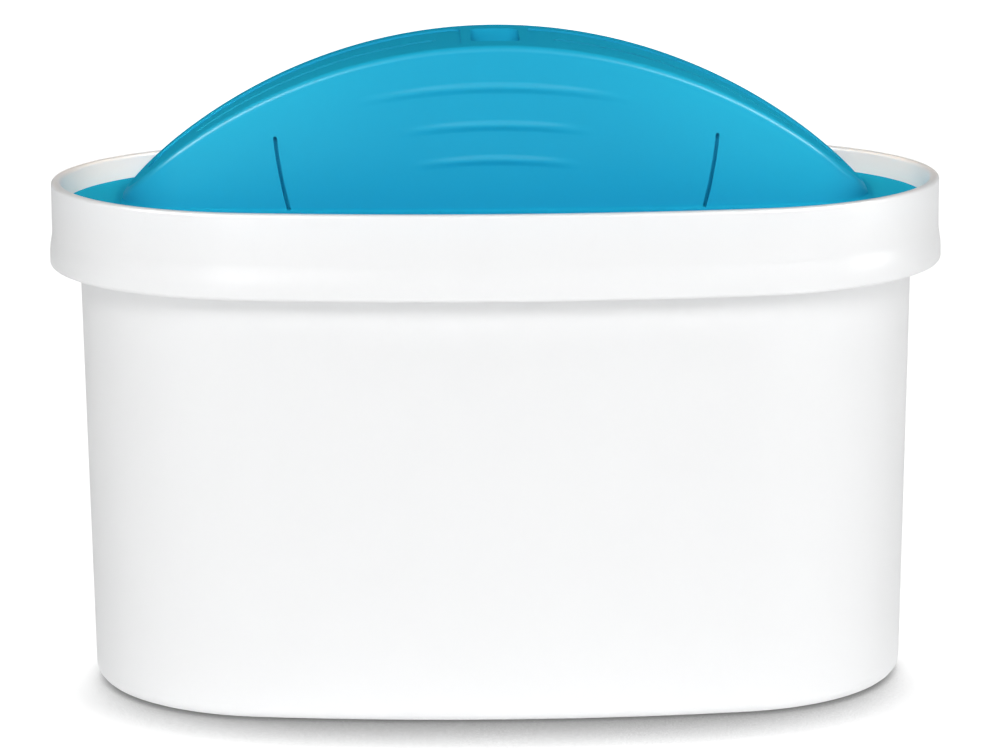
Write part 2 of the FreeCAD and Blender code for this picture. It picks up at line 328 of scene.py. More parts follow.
def grid_faces(rows, columns, close_rows, close_columns):
    """Corner indices of a grid of quads, numbered row by row."""
    row = np.arange(rows if close_rows else rows - 1)
    column = np.arange(columns if close_columns else columns - 1)
    row, column = np.meshgrid(row, column, indexing="ij")
    next_row = (row + 1) % rows
    next_column = (column + 1) % columns
    faces = np.stack([row * columns + column, row * columns + next_column,
                      next_row * columns + next_column, next_row * columns + column], axis=-1)
    return faces.reshape(-1, 4)


def linked(name, data):
    """A new object in the scene, of a mesh, a lamp or a camera."""
    made = bpy.data.objects.new(name, data)
    bpy.context.scene.collection.objects.link(made)
    return made


def mesh_object(name, points, faces):
    """A piece from an array of points and an array of faces, its normals made to face out."""
    mesh = bpy.data.meshes.new(name)
    mesh.from_pydata(points.reshape(-1, 3).tolist(), [], faces.tolist())
    piece = linked(name, mesh)
    tidy_mesh(mesh)
    shade(mesh)
    return piece


def tidy_mesh(mesh):
    """Merges points that coincide, drops faces without area and turns all faces outwards."""
    work = bmesh.new()
    work.from_mesh(mesh)
    bmesh.ops.remove_doubles(work, verts=work.verts, dist=MERGE_DISTANCE)
    bmesh.ops.dissolve_degenerate(work, edges=work.edges, dist=MERGE_DISTANCE)
    bmesh.ops.recalc_face_normals(work, faces=work.faces)
    work.to_mesh(mesh)
    work.free()


def shade(mesh):
    """Smooth shading that breaks at edges sharper than SMOOTH_ANGLE."""
    mesh.polygons.foreach_set("use_smooth", np.ones(len(mesh.polygons), bool))
    mesh.set_sharp_from_angle(angle=SMOOTH_ANGLE)
    mesh.update()


def swept(oval, section):
    """Points of a section carried round an oval: one ring of columns for each section point."""
    rings = []
    for inset, z in section:
        x, y = oval.at(inset)
        rings.append(np.stack([x, y, np.full_like(x, z)], axis=-1))
    return np.array(rings)


def side_faces(count):
    """Quads between a ring of count points and the ring that follows it."""
    index = np.arange(count)
    ahead = (index + 1) % count
    return np.stack([index, ahead, ahead + count, index + count], axis=1).tolist()


def prism(outline, bottom, top):
    """A closed upright prism over an outline of (x, y) points."""
    count = len(outline)
    low = np.column_stack([outline, np.full(count, bottom)])
    high = np.column_stack([outline, np.full(count, top)])
    index = np.arange(count)
    faces = side_faces(count) + [index[::-1].tolist(), (index + count).tolist()]
    return np.concatenate([low, high]), faces


def scoop(outline, bottom, top, lean):
    """A closed prism whose low end is drawn in along y by lean, so that its end walls slope."""
    points, faces = prism(outline, bottom, top)
    half = np.abs(outline[:, 1]).max()
    points[: len(outline), 1] *= (half - lean) / half
    return points, faces


def rounded_box(x, y, half_x, half_y, radius):
    """Outline of a rectangle with round corners, centred on x, y."""
    turn = np.linspace(0, math.pi / 2, CORNER_STEPS)
    outline = []
    for quarter, (side_x, side_y) in enumerate(((1, 1), (-1, 1), (-1, -1), (1, -1))):
        angle = turn + quarter * math.pi / 2
        outline.append(np.column_stack([x + side_x * (half_x - radius) + radius * np.cos(angle),
                                        y + side_y * (half_y - radius) + radius * np.sin(angle)]))
    return np.concatenate(outline)


def joined(name, parts):
    """One mesh from several (points, faces) pairs."""
    points, faces, start = [], [], 0
    for own_points, own_faces in parts:
        points.append(own_points)
        faces.extend([[corner + start for corner in face] for face in own_faces])
        start += len(own_points)
    mesh = bpy.data.meshes.new(name)
    mesh.from_pydata(np.concatenate(points).tolist(), [], faces)
    mesh.update()
    return mesh


def carve(piece, cutter_parts):
    """Cuts closed prisms out of a piece for good, and leaves nothing of them behind."""
    cutter_mesh = joined(piece.name + "_cutter", cutter_parts)
    tidy_mesh(cutter_mesh)
    cutter = linked(cutter_mesh.name, cutter_mesh)
    cut = piece.modifiers.new("Cut", "BOOLEAN")
    cut.operation = "DIFFERENCE"
    cut.solver = "EXACT"
    cut.object = cutter
    graph = bpy.context.evaluated_depsgraph_get()
    result = bpy.data.meshes.new_from_object(piece.evaluated_get(graph))
    piece.modifiers.clear()
    old = piece.data
    piece.data = result
    bpy.data.meshes.remove(old)
    bpy.data.objects.remove(cutter)
    bpy.data.meshes.remove(cutter_mesh)
    shade(piece.data)


def ease(value):
    """Smooth step from 0 to 1 with flat ends."""
    value = np.clip(value, 0, 1)
    return value * value * (3 - 2 * value)


def collar_oval(cup, steps):
    """The collar's outline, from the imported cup's own box."""
    half_length = CUP_HIGH.x - cup.bead_reach
    half_width = CUP_HIGH.y - cup.bead_reach
    return Oval(half_length, half_width, cup.side_bow, *steps)


def cup_section(cup):
    """The cup's wall as (inset, height, round) corners, from the foot's outer edge to its inner one."""
    rim = CUP_HIGH.z
    under = rim - cup.collar_height
    bead_top = under + cup.bead_height
    swell = []
    for part in np.linspace(0, 1, FLARE_STEPS):
        height = bead_top + cup.flare_height * (part - FLARE_UNDER)
        swell.append((-cup.bead_reach * (1 - ease(part)), height, 0.0))
    ledge = under + cup.ledge
    floor_top = cup.floor_height + cup.floor_thickness
    lean = (cup.inset_top - cup.inset_base) / under
    inner_low = cup.inset_base + lean * floor_top + cup.wall
    return [
        (cup.inset_base, 0.0, cup.base_round),
        (cup.inset_top, under, cup.neck_round),
        (-cup.bead_reach, under, cup.lower_round),
        *swell,
        (0.0, rim, cup.rim_round),
        (cup.collar_wall, rim, cup.rim_round),
        (cup.collar_wall, ledge, COLLAR_FOOT_ROUND),
        (cup.inset_top + cup.wall, ledge, INNER_EDGE_ROUND),
        (inner_low, floor_top, 0.0),
        (cup.inset_base + cup.foot_width, floor_top, 0.0),
        (cup.inset_base + cup.foot_width, 0.0, INNER_EDGE_ROUND),
    ]


def make_cup(cup):
    """Cup: its section swept round the collar's oval, with a slotted floor across the foot ring."""
    oval = collar_oval(cup, CUP_STEPS)
    rings = swept(oval, rounded(cup_section(cup), SECTION_STEPS))
    faces = grid_faces(rings.shape[0], rings.shape[1], True, True)
    piece = mesh_object("cup_moulding", rings, faces)
    floor = make_floor(cup, oval)
    return piece, floor


def make_floor(cup, oval):
    """Floor plate inside the foot ring, cut through by crosswise slots that end on an oval."""
    x, y = oval.at(cup.inset_base + cup.foot_width - FLOOR_TUCK)
    top = cup.floor_height + cup.floor_thickness
    plate = prism(np.column_stack([x, y]), cup.floor_height, top - FLOOR_SINK)
    mesh = joined("cup_floor", [plate])
    tidy_mesh(mesh)
    piece = linked("cup_floor", mesh)
    field_x, field_y = oval.at(cup.field_inset)
    upper = field_y > 0
    order = np.argsort(field_x[upper])
    pitch = cup.slot_width + cup.rib_width
    first = cup.bridge_width / 2
    reach = field_x.max() - cup.rib_width
    count = int((reach - first + cup.rib_width) / pitch)
    cutters = []
    for index in range(count):
        for left in (first + index * pitch, -first - index * pitch - cup.slot_width):
            middle = left + cup.slot_width / 2
            half = np.interp(middle, field_x[upper][order], field_y[upper][order])
            outline = rounded_box(middle, 0.0, cup.slot_width / 2, half, SLOT_END * cup.slot_width)
            cutters.append(prism(outline, cup.floor_height - OVERCUT, top + OVERCUT))
    carve(piece, cutters)
    return piece


def finger_beads(lid, x, z, flange_top):
    """How far the grip's face stands out at x and height z.

    Each bead is proud * (1 - (x / half length)^2) * cos^2(90 degrees * height off its middle line / reach),
    and its middle line falls by fall * (x / half length)^2.
    """
    out = np.zeros_like(z)
    for height, half_length, fall in FINGER_BEADS:
        share = (x / half_length) ** 2
        off = (z - (flange_top + height - fall * share)) / lid.bead_reach
        swell = np.cos(math.pi / 2 * np.clip(off, -1, 1)) ** 2
        out = np.maximum(out, lid.bead_proud * swell * np.maximum(1 - share, 0))
    return out


def grip_arch(lid, flange_top):
    """Radius and axis height of the crest: an arc through the crest and both end walls."""
    rise = LID_HIGH.z - flange_top
    drop = rise - lid.end_rise
    radius = (lid.grip_length**2 + drop**2) / (2 * drop)
    return radius, LID_HIGH.z - radius


def arch_height(x, radius, axis):
    """Height of an arch of this radius at x."""
    return axis + np.sqrt(np.maximum(radius**2 - x**2, 0))


def lid_rows(lid, cup, grip, collar, flange_top):
    """Rings of the lid from the crest's middle line down, out, under and up to the chamber's ceiling.

    Outside: height = arch(x) - (r - sqrt(r^2 - (r - s)^2)) at a set-in s less than the edge round r,
    then the upright wall with its finger beads, the foot's round, the flat flange and the skirt.
    Inside: the flange's underside, the chamber's wall and the arch set in by the grip's wall.
    """
    radius, axis = grip_arch(lid, flange_top)
    rows = []

    def add(x, y, z):
        rows.append(np.stack([x, y, np.broadcast_to(z, x.shape)], axis=-1))

    edge = lid.edge_round
    for share in np.linspace(0, 1, CREST_STEPS):
        x, y = grip.at(grip.deepest + (edge - grip.deepest) * share)
        add(x, y, arch_height(x, radius, axis))
    for turn in np.linspace(0, math.pi / 2, EDGE_STEPS)[1:]:
        inset = edge * (1 - math.sin(turn))
        x, y = grip.at(inset)
        add(x, y, arch_height(x, radius, axis) - edge * (1 - math.cos(turn)))
    outer_x, outer_y = grip.at(0.0)
    top = arch_height(outer_x, radius, axis) - edge
    foot = flange_top + lid.foot_round
    for share in np.linspace(0, 1, WALL_STEPS)[1:]:
        z = top + (foot - top) * share
        x, y = grip.at(-finger_beads(lid, outer_x, z, flange_top))
        add(x, y, z)
    for turn in np.linspace(0, math.pi / 2, FOOT_STEPS)[1:]:
        x, y = grip.at(-lid.foot_round * (1 - math.cos(turn)))
        add(x, y, foot - lid.foot_round * math.sin(turn))
    outer = cup.collar_wall + lid.clearance
    for turn in np.linspace(0, math.pi / 2, FLANGE_STEPS):
        x, y = collar.at(outer + lid.flange_round * (1 - math.sin(turn)))
        add(x, y, flange_top - lid.flange_round * (1 - math.cos(turn)))
    under = flange_top - lid.flange
    inner = outer + lid.skirt
    for inset, z in ((outer, SCREEN_HIGH.z), (inner, SCREEN_HIGH.z), (inner, under)):
        x, y = collar.at(inset)
        add(x, y, z)
    x, y = grip.at(lid.wall)
    add(x, y, under)
    ceiling = chamber_ceiling(lid, x, radius, axis)
    add(x, y, ceiling)
    for share in np.linspace(0, 1, CEILING_STEPS)[1:]:
        x, y = grip.at(lid.wall + (grip.deepest - lid.wall) * share)
        add(x, y, chamber_ceiling(lid, x, radius, axis))
    return np.array(rows)


def chamber_ceiling(lid, x, radius, axis):
    """Height of the chamber's ceiling at x, lowered round the well by the well's own floor."""
    height = arch_height(x, radius - lid.wall, axis)
    boss = LID_HIGH.z - lid.well_depth - lid.well_wall
    inside = ease((lid.well_length / 2 + lid.well_wall + WELL_EASE - np.abs(x)) / WELL_EASE)
    return height + (np.minimum(boss, height) - height) * inside


def true_normals(piece, lid, grip, radius, axis):
    """Exact normals on the crest, its trays and the grip's upright wall, so that cuts leave no shade.

    Crest and trays: (x, 0, z - axis) made a unit. Wall: the column's own outward line from its arc's
    centre. Loops elsewhere keep the normal that Blender works out.
    """
    mesh = piece.data
    points = np.empty(len(mesh.vertices) * 3)
    mesh.vertices.foreach_get("co", points)
    corner = np.empty(len(mesh.loops), np.int32)
    mesh.loops.foreach_get("vertex_index", corner)
    place = points.reshape(-1, 3)[corner]
    facing = np.empty(len(mesh.polygons) * 3)
    mesh.polygons.foreach_get("normal", facing)
    count = np.empty(len(mesh.polygons), np.int32)
    mesh.polygons.foreach_get("loop_total", count)
    facing = np.repeat(facing.reshape(-1, 3), count, axis=0)
    x, y, z = place.T
    normals = np.zeros_like(place)
    close = 0.004 * MM
    least_crest, least_wall = 0.985, 0.9999

    crest = np.stack([x, np.zeros_like(x), z - axis], axis=1)
    crest /= np.linalg.norm(crest, axis=1, keepdims=True)
    reach = np.hypot(x, z - axis)
    on_crest = (np.abs(reach - radius) < close) | (np.abs(reach - (radius - lid.tray_depth)) < close)
    on_crest &= np.sum(crest * facing, axis=1) > least_crest
    normals[on_crest] = crest[on_crest]

    side = np.where(y > 0, 1.0, -1.0)
    end = np.where(x > 0, 1.0, -1.0)
    for centre_x, centre_y, size in ((0.0 * x, -side * grip.side_centre, grip.side_radius),
                                     (end * grip.reach, 0.0 * x, grip.radius.min())):
        wall = np.stack([x - centre_x, y - centre_y, np.zeros_like(x)], axis=1)
        far = np.linalg.norm(wall, axis=1, keepdims=True)
        wall /= far
        on_wall = (np.abs(far[:, 0] - size) < close) & (np.sum(wall * facing, axis=1) > least_wall)
        normals[on_wall] = wall[on_wall]
    mesh.normals_split_custom_set(normals.tolist())


def slit_outline(lid, flange_top, side):
    """Outline in x and z of a slit: two arcs about one centre, closed by a round top."""
    crown = flange_top + lid.slit_crown
    centre = lid.slit_reach - lid.slit_bend
    low = math.asin((lid.slit_foot - lid.slit_crown) / lid.slit_bend)
    high = math.asin((lid.slit_top - lid.slit_crown) / lid.slit_bend)
    half = lid.slit_width / 2
    angle = np.linspace(low, high, SLIT_STEPS)
    turn = np.linspace(0, math.pi, SLIT_TOP_STEPS)[1:-1]
    tip = high + half * np.sin(turn) / lid.slit_bend
    arcs = ((half, angle), (half * np.cos(turn), tip), (-half, angle[::-1]))
    outline = np.concatenate([
        np.column_stack([centre + (lid.slit_bend + off) * np.cos(swing),
                         crown + (lid.slit_bend + off) * np.sin(swing)])
        for off, swing in arcs
    ])
    outline[:, 0] *= side
    return outline


def upright_slot(outline, front, back):
    """A closed prism over an outline in x and z, from front to back."""
    points, faces = prism(outline, front, back)
    return points[:, [0, 2, 1]], faces


def tray_cutter(lid, radius, axis, side):
    """Closed solid over one crest tray, its floor on an arch set in by the tray's depth.

    The plan is the grip's outline set in by the margin, cut off at the bridge with round corners.
    """
    margin = lid.tray_margin
    plan = Oval(lid.grip_length - margin, lid.grip_width - margin, lid.grip_bow, *TRAY_STEPS)
    x, y = plan.at(0.0)
    start = lid.well_length / 2 + lid.bridge
    keep = x > start + lid.tray_round
    order = np.argsort(np.arctan2(y[keep], x[keep] - start))
    arc = np.column_stack([x[keep], y[keep]])[order]
    corner_y = np.interp(start, x[y > 0][::-1], y[y > 0][::-1])
    turn = np.linspace(math.pi / 2, math.pi, CORNER_STEPS)
    upper = np.column_stack([start + lid.tray_round * (1 + np.cos(turn)),
                             corner_y - lid.tray_round * (1 - np.sin(turn))])
    outline = np.concatenate([arc, upper, upper[::-1] * [1, -1]])
    count = len(outline)
    floor = arch_height(outline[:, 0], radius - lid.tray_depth, axis)
    points = np.concatenate([np.column_stack([outline, floor]),
                             np.column_stack([outline, np.full(count, LID_HIGH.z + OVERCUT)])])
    points[:, 0] *= side
    index = np.arange(count)
    # The floor is closed by strips from each point of the upper half to its mirror image below
    mirror = np.concatenate([index[: len(arc)][::-1], index[len(arc) :][::-1]])
    half = index[outline[:, 1] > TINY]
    half = half[np.argsort(-outline[half, 0])]
    near, far = half[:-1], half[1:]
    strips = np.stack([near, mirror[near], mirror[far], far], axis=1).tolist()
    tip = int(np.argmax(outline[:, 0]))
    strips.append([tip, int(mirror[half[0]]), int(half[0])])
    return points, side_faces(count) + [(index + count).tolist()] + strips


def make_lid(lid, cup):
    """Lid: one closed grid of rings, with trays, well, inlet slots and slits cut out."""
    flange_top = CUP_HIGH.z - lid.flange_drop
    grip = Oval(lid.grip_length, lid.grip_width, lid.grip_bow, *LID_STEPS)
    collar = collar_oval(cup, LID_STEPS)
    rows = lid_rows(lid, cup, grip, collar, flange_top)
    faces = grid_faces(rows.shape[0], rows.shape[1], False, True)
    piece = mesh_object("lid_moulding", rows, faces)
    radius, axis = grip_arch(lid, flange_top)
    start = lid.well_length / 2 + lid.bridge + lid.slot_gap
    middle = (start + lid.slot_reach) / 2
    half = (lid.slot_reach - start) / 2
    above = LID_HIGH.z + OVERCUT
    well = rounded_box(0.0, 0.0, lid.well_length / 2, lid.well_width / 2, lid.well_round)
    cutters = [scoop(well, LID_HIGH.z - lid.well_depth, above, lid.well_lean)]
    for side in (1, -1):
        cutters.append(tray_cutter(lid, radius, axis, side))
    carve(piece, cutters)
    cutters = []
    for side in (1, -1):
        slot = rounded_box(side * middle, 0.0, half, lid.slot_width / 2, SLOT_END * lid.slot_width)
        cutters.append(prism(slot, flange_top + INLET_BOTTOM, above))
        slit = slit_outline(lid, flange_top, side)
        beyond = lid.grip_width + OVERCUT
        reach = grip.radius.max() - lid.slit_depth
        bottom = math.sqrt(reach**2 - np.abs(slit[:, 0]).mean() ** 2) - grip.side_centre
        cutters.append(upright_slot(slit, -beyond, -bottom))
        cutters.append(upright_slot(slit, bottom, beyond))
    carve(piece, cutters)
    true_normals(piece, lid, grip, radius, axis)
    return piece


def new_material(name):
    """A node material with its shader and object coordinates."""
    material = bpy.data.materials.new(name)
    material.use_nodes = True
    nodes = material.node_tree.nodes
    shader = nodes["Principled BSDF"]
    place = nodes.new("ShaderNodeTexCoord")
    return material, nodes, material.node_tree.links, shader, place


def noise(nodes, links, place, scale, detail, stretch=(1, 1, 1)):
    """Noise over object coordinates, stretched along the axes."""
    mapping = nodes.new("ShaderNodeMapping")
    mapping.inputs["Scale"].default_value = stretch
    texture = nodes.new("ShaderNodeTexNoise")
    texture.inputs["Scale"].default_value = scale
    texture.inputs["Detail"].default_value = detail
    links.new(place.outputs["Object"], mapping.inputs["Vector"])
    links.new(mapping.outputs["Vector"], texture.inputs["Vector"])
    return texture.outputs["Fac"]


def bumped(nodes, links, shader, layers):
    """Bump layers (height, distance) one on the other, into the shader's normal."""
    normal = None
    for height, distance in layers:
        bump = nodes.new("ShaderNodeBump")
        bump.inputs["Strength"].default_value = 1.0
        bump.inputs["Distance"].default_value = distance
        links.new(height, bump.inputs["Height"])
        if normal is not None:
            links.new(normal, bump.inputs["Normal"])
        normal = bump.outputs["Normal"]
    links.new(normal, shader.inputs["Normal"])


def blended(nodes, links, share, first, second):
    """A colour between two, by a share from 0 to 1."""
    mix = nodes.new("ShaderNodeMix")
    mix.data_type = "RGBA"
    mix.inputs[COLOUR_A].default_value = (*first, 1.0)
    mix.inputs[COLOUR_B].default_value = (*second, 1.0)
    links.new(share, mix.inputs[FACTOR])
    return mix.outputs[COLOUR_OUT]


def darker(colour, share):
    """This share of a colour."""
    return tuple(channel * share for channel in colour)


def ranged(nodes, links, value, low, high, span=(0.0, 1.0)):
    """A value mapped from its span onto low to high, and held there beyond the span."""
    remap = nodes.new("ShaderNodeMapRange")
    remap.inputs["From Min"].default_value, remap.inputs["From Max"].default_value = span
    remap.inputs["To Min"].default_value = low
    remap.inputs["To Max"].default_value = high
    links.new(value, remap.inputs["Value"])
    return remap.outputs["Result"]


def reckoned(nodes, links, operation, *values):
    """Result of a math node; each value is a socket or a number."""
    node = nodes.new("ShaderNodeMath")
    node.operation = operation
    for slot, value in zip(node.inputs, values):
        if isinstance(value, bpy.types.NodeSocket):
            links.new(value, slot)
        else:
            slot.default_value = value
    return node.outputs["Value"]


def moulded_plastic(name, colour, shade_share, roughness, gloss_spread, specular, milky=0.0):
    """Moulded plastic: faint cloudy colour, uneven gloss, mould texture and slow sink.

    shade_share is how bright the darkest clouds are, and milky the share of light that scatters
    inside the wall.
    """
    material, nodes, links, shader, place = new_material(name)
    cloud = noise(nodes, links, place, scale=45.0, detail=3.0, stretch=(1.0, 1.0, 0.6))
    dark = darker(colour, shade_share)
    links.new(blended(nodes, links, cloud, dark, colour), shader.inputs["Base Color"])
    uneven = noise(nodes, links, place, scale=160.0, detail=4.0)
    links.new(ranged(nodes, links, uneven, roughness, roughness + gloss_spread), shader.inputs["Roughness"])
    grain = noise(nodes, links, place, scale=5200.0, detail=2.0)
    sink = noise(nodes, links, place, scale=38.0, detail=1.0, stretch=(1.0, 1.0, 0.25))
    bumped(nodes, links, shader, [(grain, 0.0035 * MM), (sink, 0.12 * MM)])
    shader.inputs["IOR"].default_value = 1.49
    shader.inputs["Specular IOR Level"].default_value = specular
    shader.inputs["Subsurface Weight"].default_value = milky
    shader.inputs["Subsurface Radius"].default_value = (1.0, 1.0, 1.0)
    shader.inputs["Subsurface Scale"].default_value = 1.2 * MM
    return material


def polish(material, lid, weight):
    """Gives the lid's plastic a polished skin, but none where its mould was left matt.

    Matt are the faces that look up, as the normal's z rises through MATT_SPAN, the well, where |x| and
    |y| are under its half sizes, and the grip's foot, where z is under the top of the foot's round.
    """
    nodes, links = material.node_tree.nodes, material.node_tree.links
    shader = nodes["Principled BSDF"]
    place = nodes.new("ShaderNodeTexCoord")
    facing = nodes.new("ShaderNodeSeparateXYZ")
    links.new(place.outputs["Normal"], facing.inputs["Vector"])
    spot = nodes.new("ShaderNodeSeparateXYZ")
    links.new(place.outputs["Object"], spot.inputs["Vector"])
    up = ranged(nodes, links, facing.outputs["Z"], 0.0, 1.0, MATT_SPAN)
    margin = 0.05 * MM
    within = []
    for axis, size in (("X", lid.well_length), ("Y", lid.well_width)):
        off = reckoned(nodes, links, "ABSOLUTE", spot.outputs[axis])
        within.append(reckoned(nodes, links, "LESS_THAN", off, size / 2 + margin))
    well = reckoned(nodes, links, "MULTIPLY", *within)
    foot = CUP_HIGH.z - lid.flange_drop + lid.foot_round
    low = reckoned(nodes, links, "LESS_THAN", spot.outputs["Z"], foot)
    matt = reckoned(nodes, links, "MAXIMUM", up, well)
    matt = reckoned(nodes, links, "MAXIMUM", matt, low)
    polished = reckoned(nodes, links, "SUBTRACT", 1.0, matt)
    links.new(reckoned(nodes, links, "MULTIPLY", polished, weight), shader.inputs["Coat Weight"])
    shader.inputs["Coat Roughness"].default_value = 0.3
    return material


def woven_screen(name, colour, pitch):
    """Plain woven threads: the higher of two waves that cross, one along x and one along y."""
    material, nodes, links, shader, place = new_material(name)
    waves = []
    for direction in ("X", "Y"):
        wave = nodes.new("ShaderNodeTexWave")
        wave.bands_direction = direction
        wave.inputs["Scale"].default_value = WAVE_LENGTH / pitch
        wave.inputs["Distortion"].default_value = 0.0
        links.new(place.outputs["Object"], wave.inputs["Vector"])
        waves.append(wave.outputs["Fac"])
    thread = reckoned(nodes, links, "MAXIMUM", *waves)
    # Painted shade: the openings between the threads are coloured a quarter as bright as the threads
    gap_shade = darker(colour, 0.25)
    links.new(blended(nodes, links, thread, gap_shade, colour), shader.inputs["Base Color"])
    shader.inputs["Roughness"].default_value = 0.45
    bumped(nodes, links, shader, [(thread, 0.08 * MM)])
    return material


def fleece(name, colour):
    """Needled fleece: fine crossed fibres and a soft uneven surface."""
    material, nodes, links, shader, place = new_material(name)
    fibre = noise(nodes, links, place, scale=2600.0, detail=6.0, stretch=(1.0, 0.2, 1.0))
    cross = noise(nodes, links, place, scale=2600.0, detail=6.0, stretch=(0.2, 1.0, 1.0))
    loft = noise(nodes, links, place, scale=300.0, detail=3.0)
    links.new(blended(nodes, links, fibre, darker(colour, 0.8), colour), shader.inputs["Base Color"])
    shader.inputs["Roughness"].default_value = 0.95
    shader.inputs["Sheen Weight"].default_value = 0.3
    bumped(nodes, links, shader, [(fibre, 0.08 * MM), (cross, 0.08 * MM), (loft, 0.2 * MM)])
    return material


def granulate(name, resin, carbon, grain):
    """Loose beads and grains: one cell for each, coloured resin or carbon by the cell's own chance."""
    material, nodes, links, shader, place = new_material(name)
    cells = nodes.new("ShaderNodeTexVoronoi")
    cells.inputs["Scale"].default_value = 1.0 / grain
    links.new(place.outputs["Object"], cells.inputs["Vector"])
    chance = nodes.new("ShaderNodeSeparateColor")
    links.new(cells.outputs["Color"], chance.inputs["Color"])
    carbon_share = 0.45
    pick = reckoned(nodes, links, "GREATER_THAN", chance.outputs["Red"], carbon_share)
    links.new(blended(nodes, links, pick, carbon, resin), shader.inputs["Base Color"])
    links.new(ranged(nodes, links, chance.outputs["Green"], 0.25, 0.75), shader.inputs["Roughness"])
    round_top = reckoned(nodes, links, "SUBTRACT", 1.0, cells.outputs["Distance"])
    bumped(nodes, links, shader, [(round_top, 0.4 * MM)])
    return material


def dress(piece, material):
    """Gives a piece one material in all its slots."""
    piece.data.materials.clear()
    piece.data.materials.append(material)
    piece.data.polygons.foreach_set("material_index", np.zeros(len(piece.data.polygons), np.int32))


def redress(node, material):
    """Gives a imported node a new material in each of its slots."""
    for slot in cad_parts[node].material_slots:
        slot.material = material


class CARTRIDGE_OT_cup(bpy.types.Operator):
    """Adds the white moulded cup with its collar, foot ring and slotted floor"""

    bl_idname = "cartridge.cup"
    bl_label = "Add cup"

    def execute(self, context):
        cup, _, _, _ = settings()
        material = moulded_plastic("white_polypropylene", tuple(cup.colour), shade_share=0.985,
                                   roughness=0.26, gloss_spread=0.10, specular=0.3, milky=0.5)
        for piece in make_cup(cup):
            dress(piece, material)
            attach(piece, BODY)
            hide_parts("cup")
        return {"FINISHED"}


class CARTRIDGE_OT_lid(bpy.types.Operator):
    """Adds the cyan moulded lid with its hollow arched grip"""

    bl_idname = "cartridge.lid"
    bl_label = "Add lid"

    def execute(self, context):
        cup, lid, _, _ = settings()
        piece = make_lid(lid, cup)
        plastic = moulded_plastic("cyan_polypropylene", tuple(lid.colour), shade_share=0.96,
                                  roughness=0.55, gloss_spread=0.15, specular=0.0)
        dress(piece, polish(plastic, lid, weight=0.16))
        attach(piece, BODY)
        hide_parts("lid")
        return {"FINISHED"}


class CARTRIDGE_OT_fill(bpy.types.Operator):
    """Finishes the woven screens, the fleece pad and the granulate bed inside the cup"""

    bl_idname = "cartridge.fill"
    bl_label = "Finish screens and fill"

    def execute(self, context):
        _, _, fill, _ = settings()
        weave = woven_screen("woven_screen", tuple(fill.screen_colour), fill.weave_pitch)
        redress("inlet_screen", weave)
        redress("outlet_screen", weave)
        redress("outlet_fleece", fleece("white_fleece", tuple(fill.fleece_colour)))
        redress("granulate_bed", granulate("mixed_granulate", tuple(fill.resin_colour),
                                           tuple(fill.carbon_colour), fill.grain))
        return {"FINISHED"}


def aimed(data, place, target, power):
    """A lamp at place that faces target."""
    data.energy = power
    light = linked(data.name, data)
    light.location = place
    light.rotation_euler = (Vector(place) - Vector(target)).to_track_quat("Z", "Y").to_euler()
    return light


def area_light(name, place, target, size, power):
    """A rectangular soft white light at place that faces target."""
    data = bpy.data.lights.new(name, "AREA")
    data.shape = "RECTANGLE"
    data.size, data.size_y = size
    return aimed(data, place, target, power)


def spot_light(name, place, target, cone, power, colour):
    """A narrow lamp with a soft edge at place that faces target."""
    data = bpy.data.lights.new(name, "SPOT")
    data.spot_size = cone
    data.spot_blend = 1.0
    data.shadow_soft_size = 10 * MM
    data.color = colour
    return aimed(data, place, target, power)


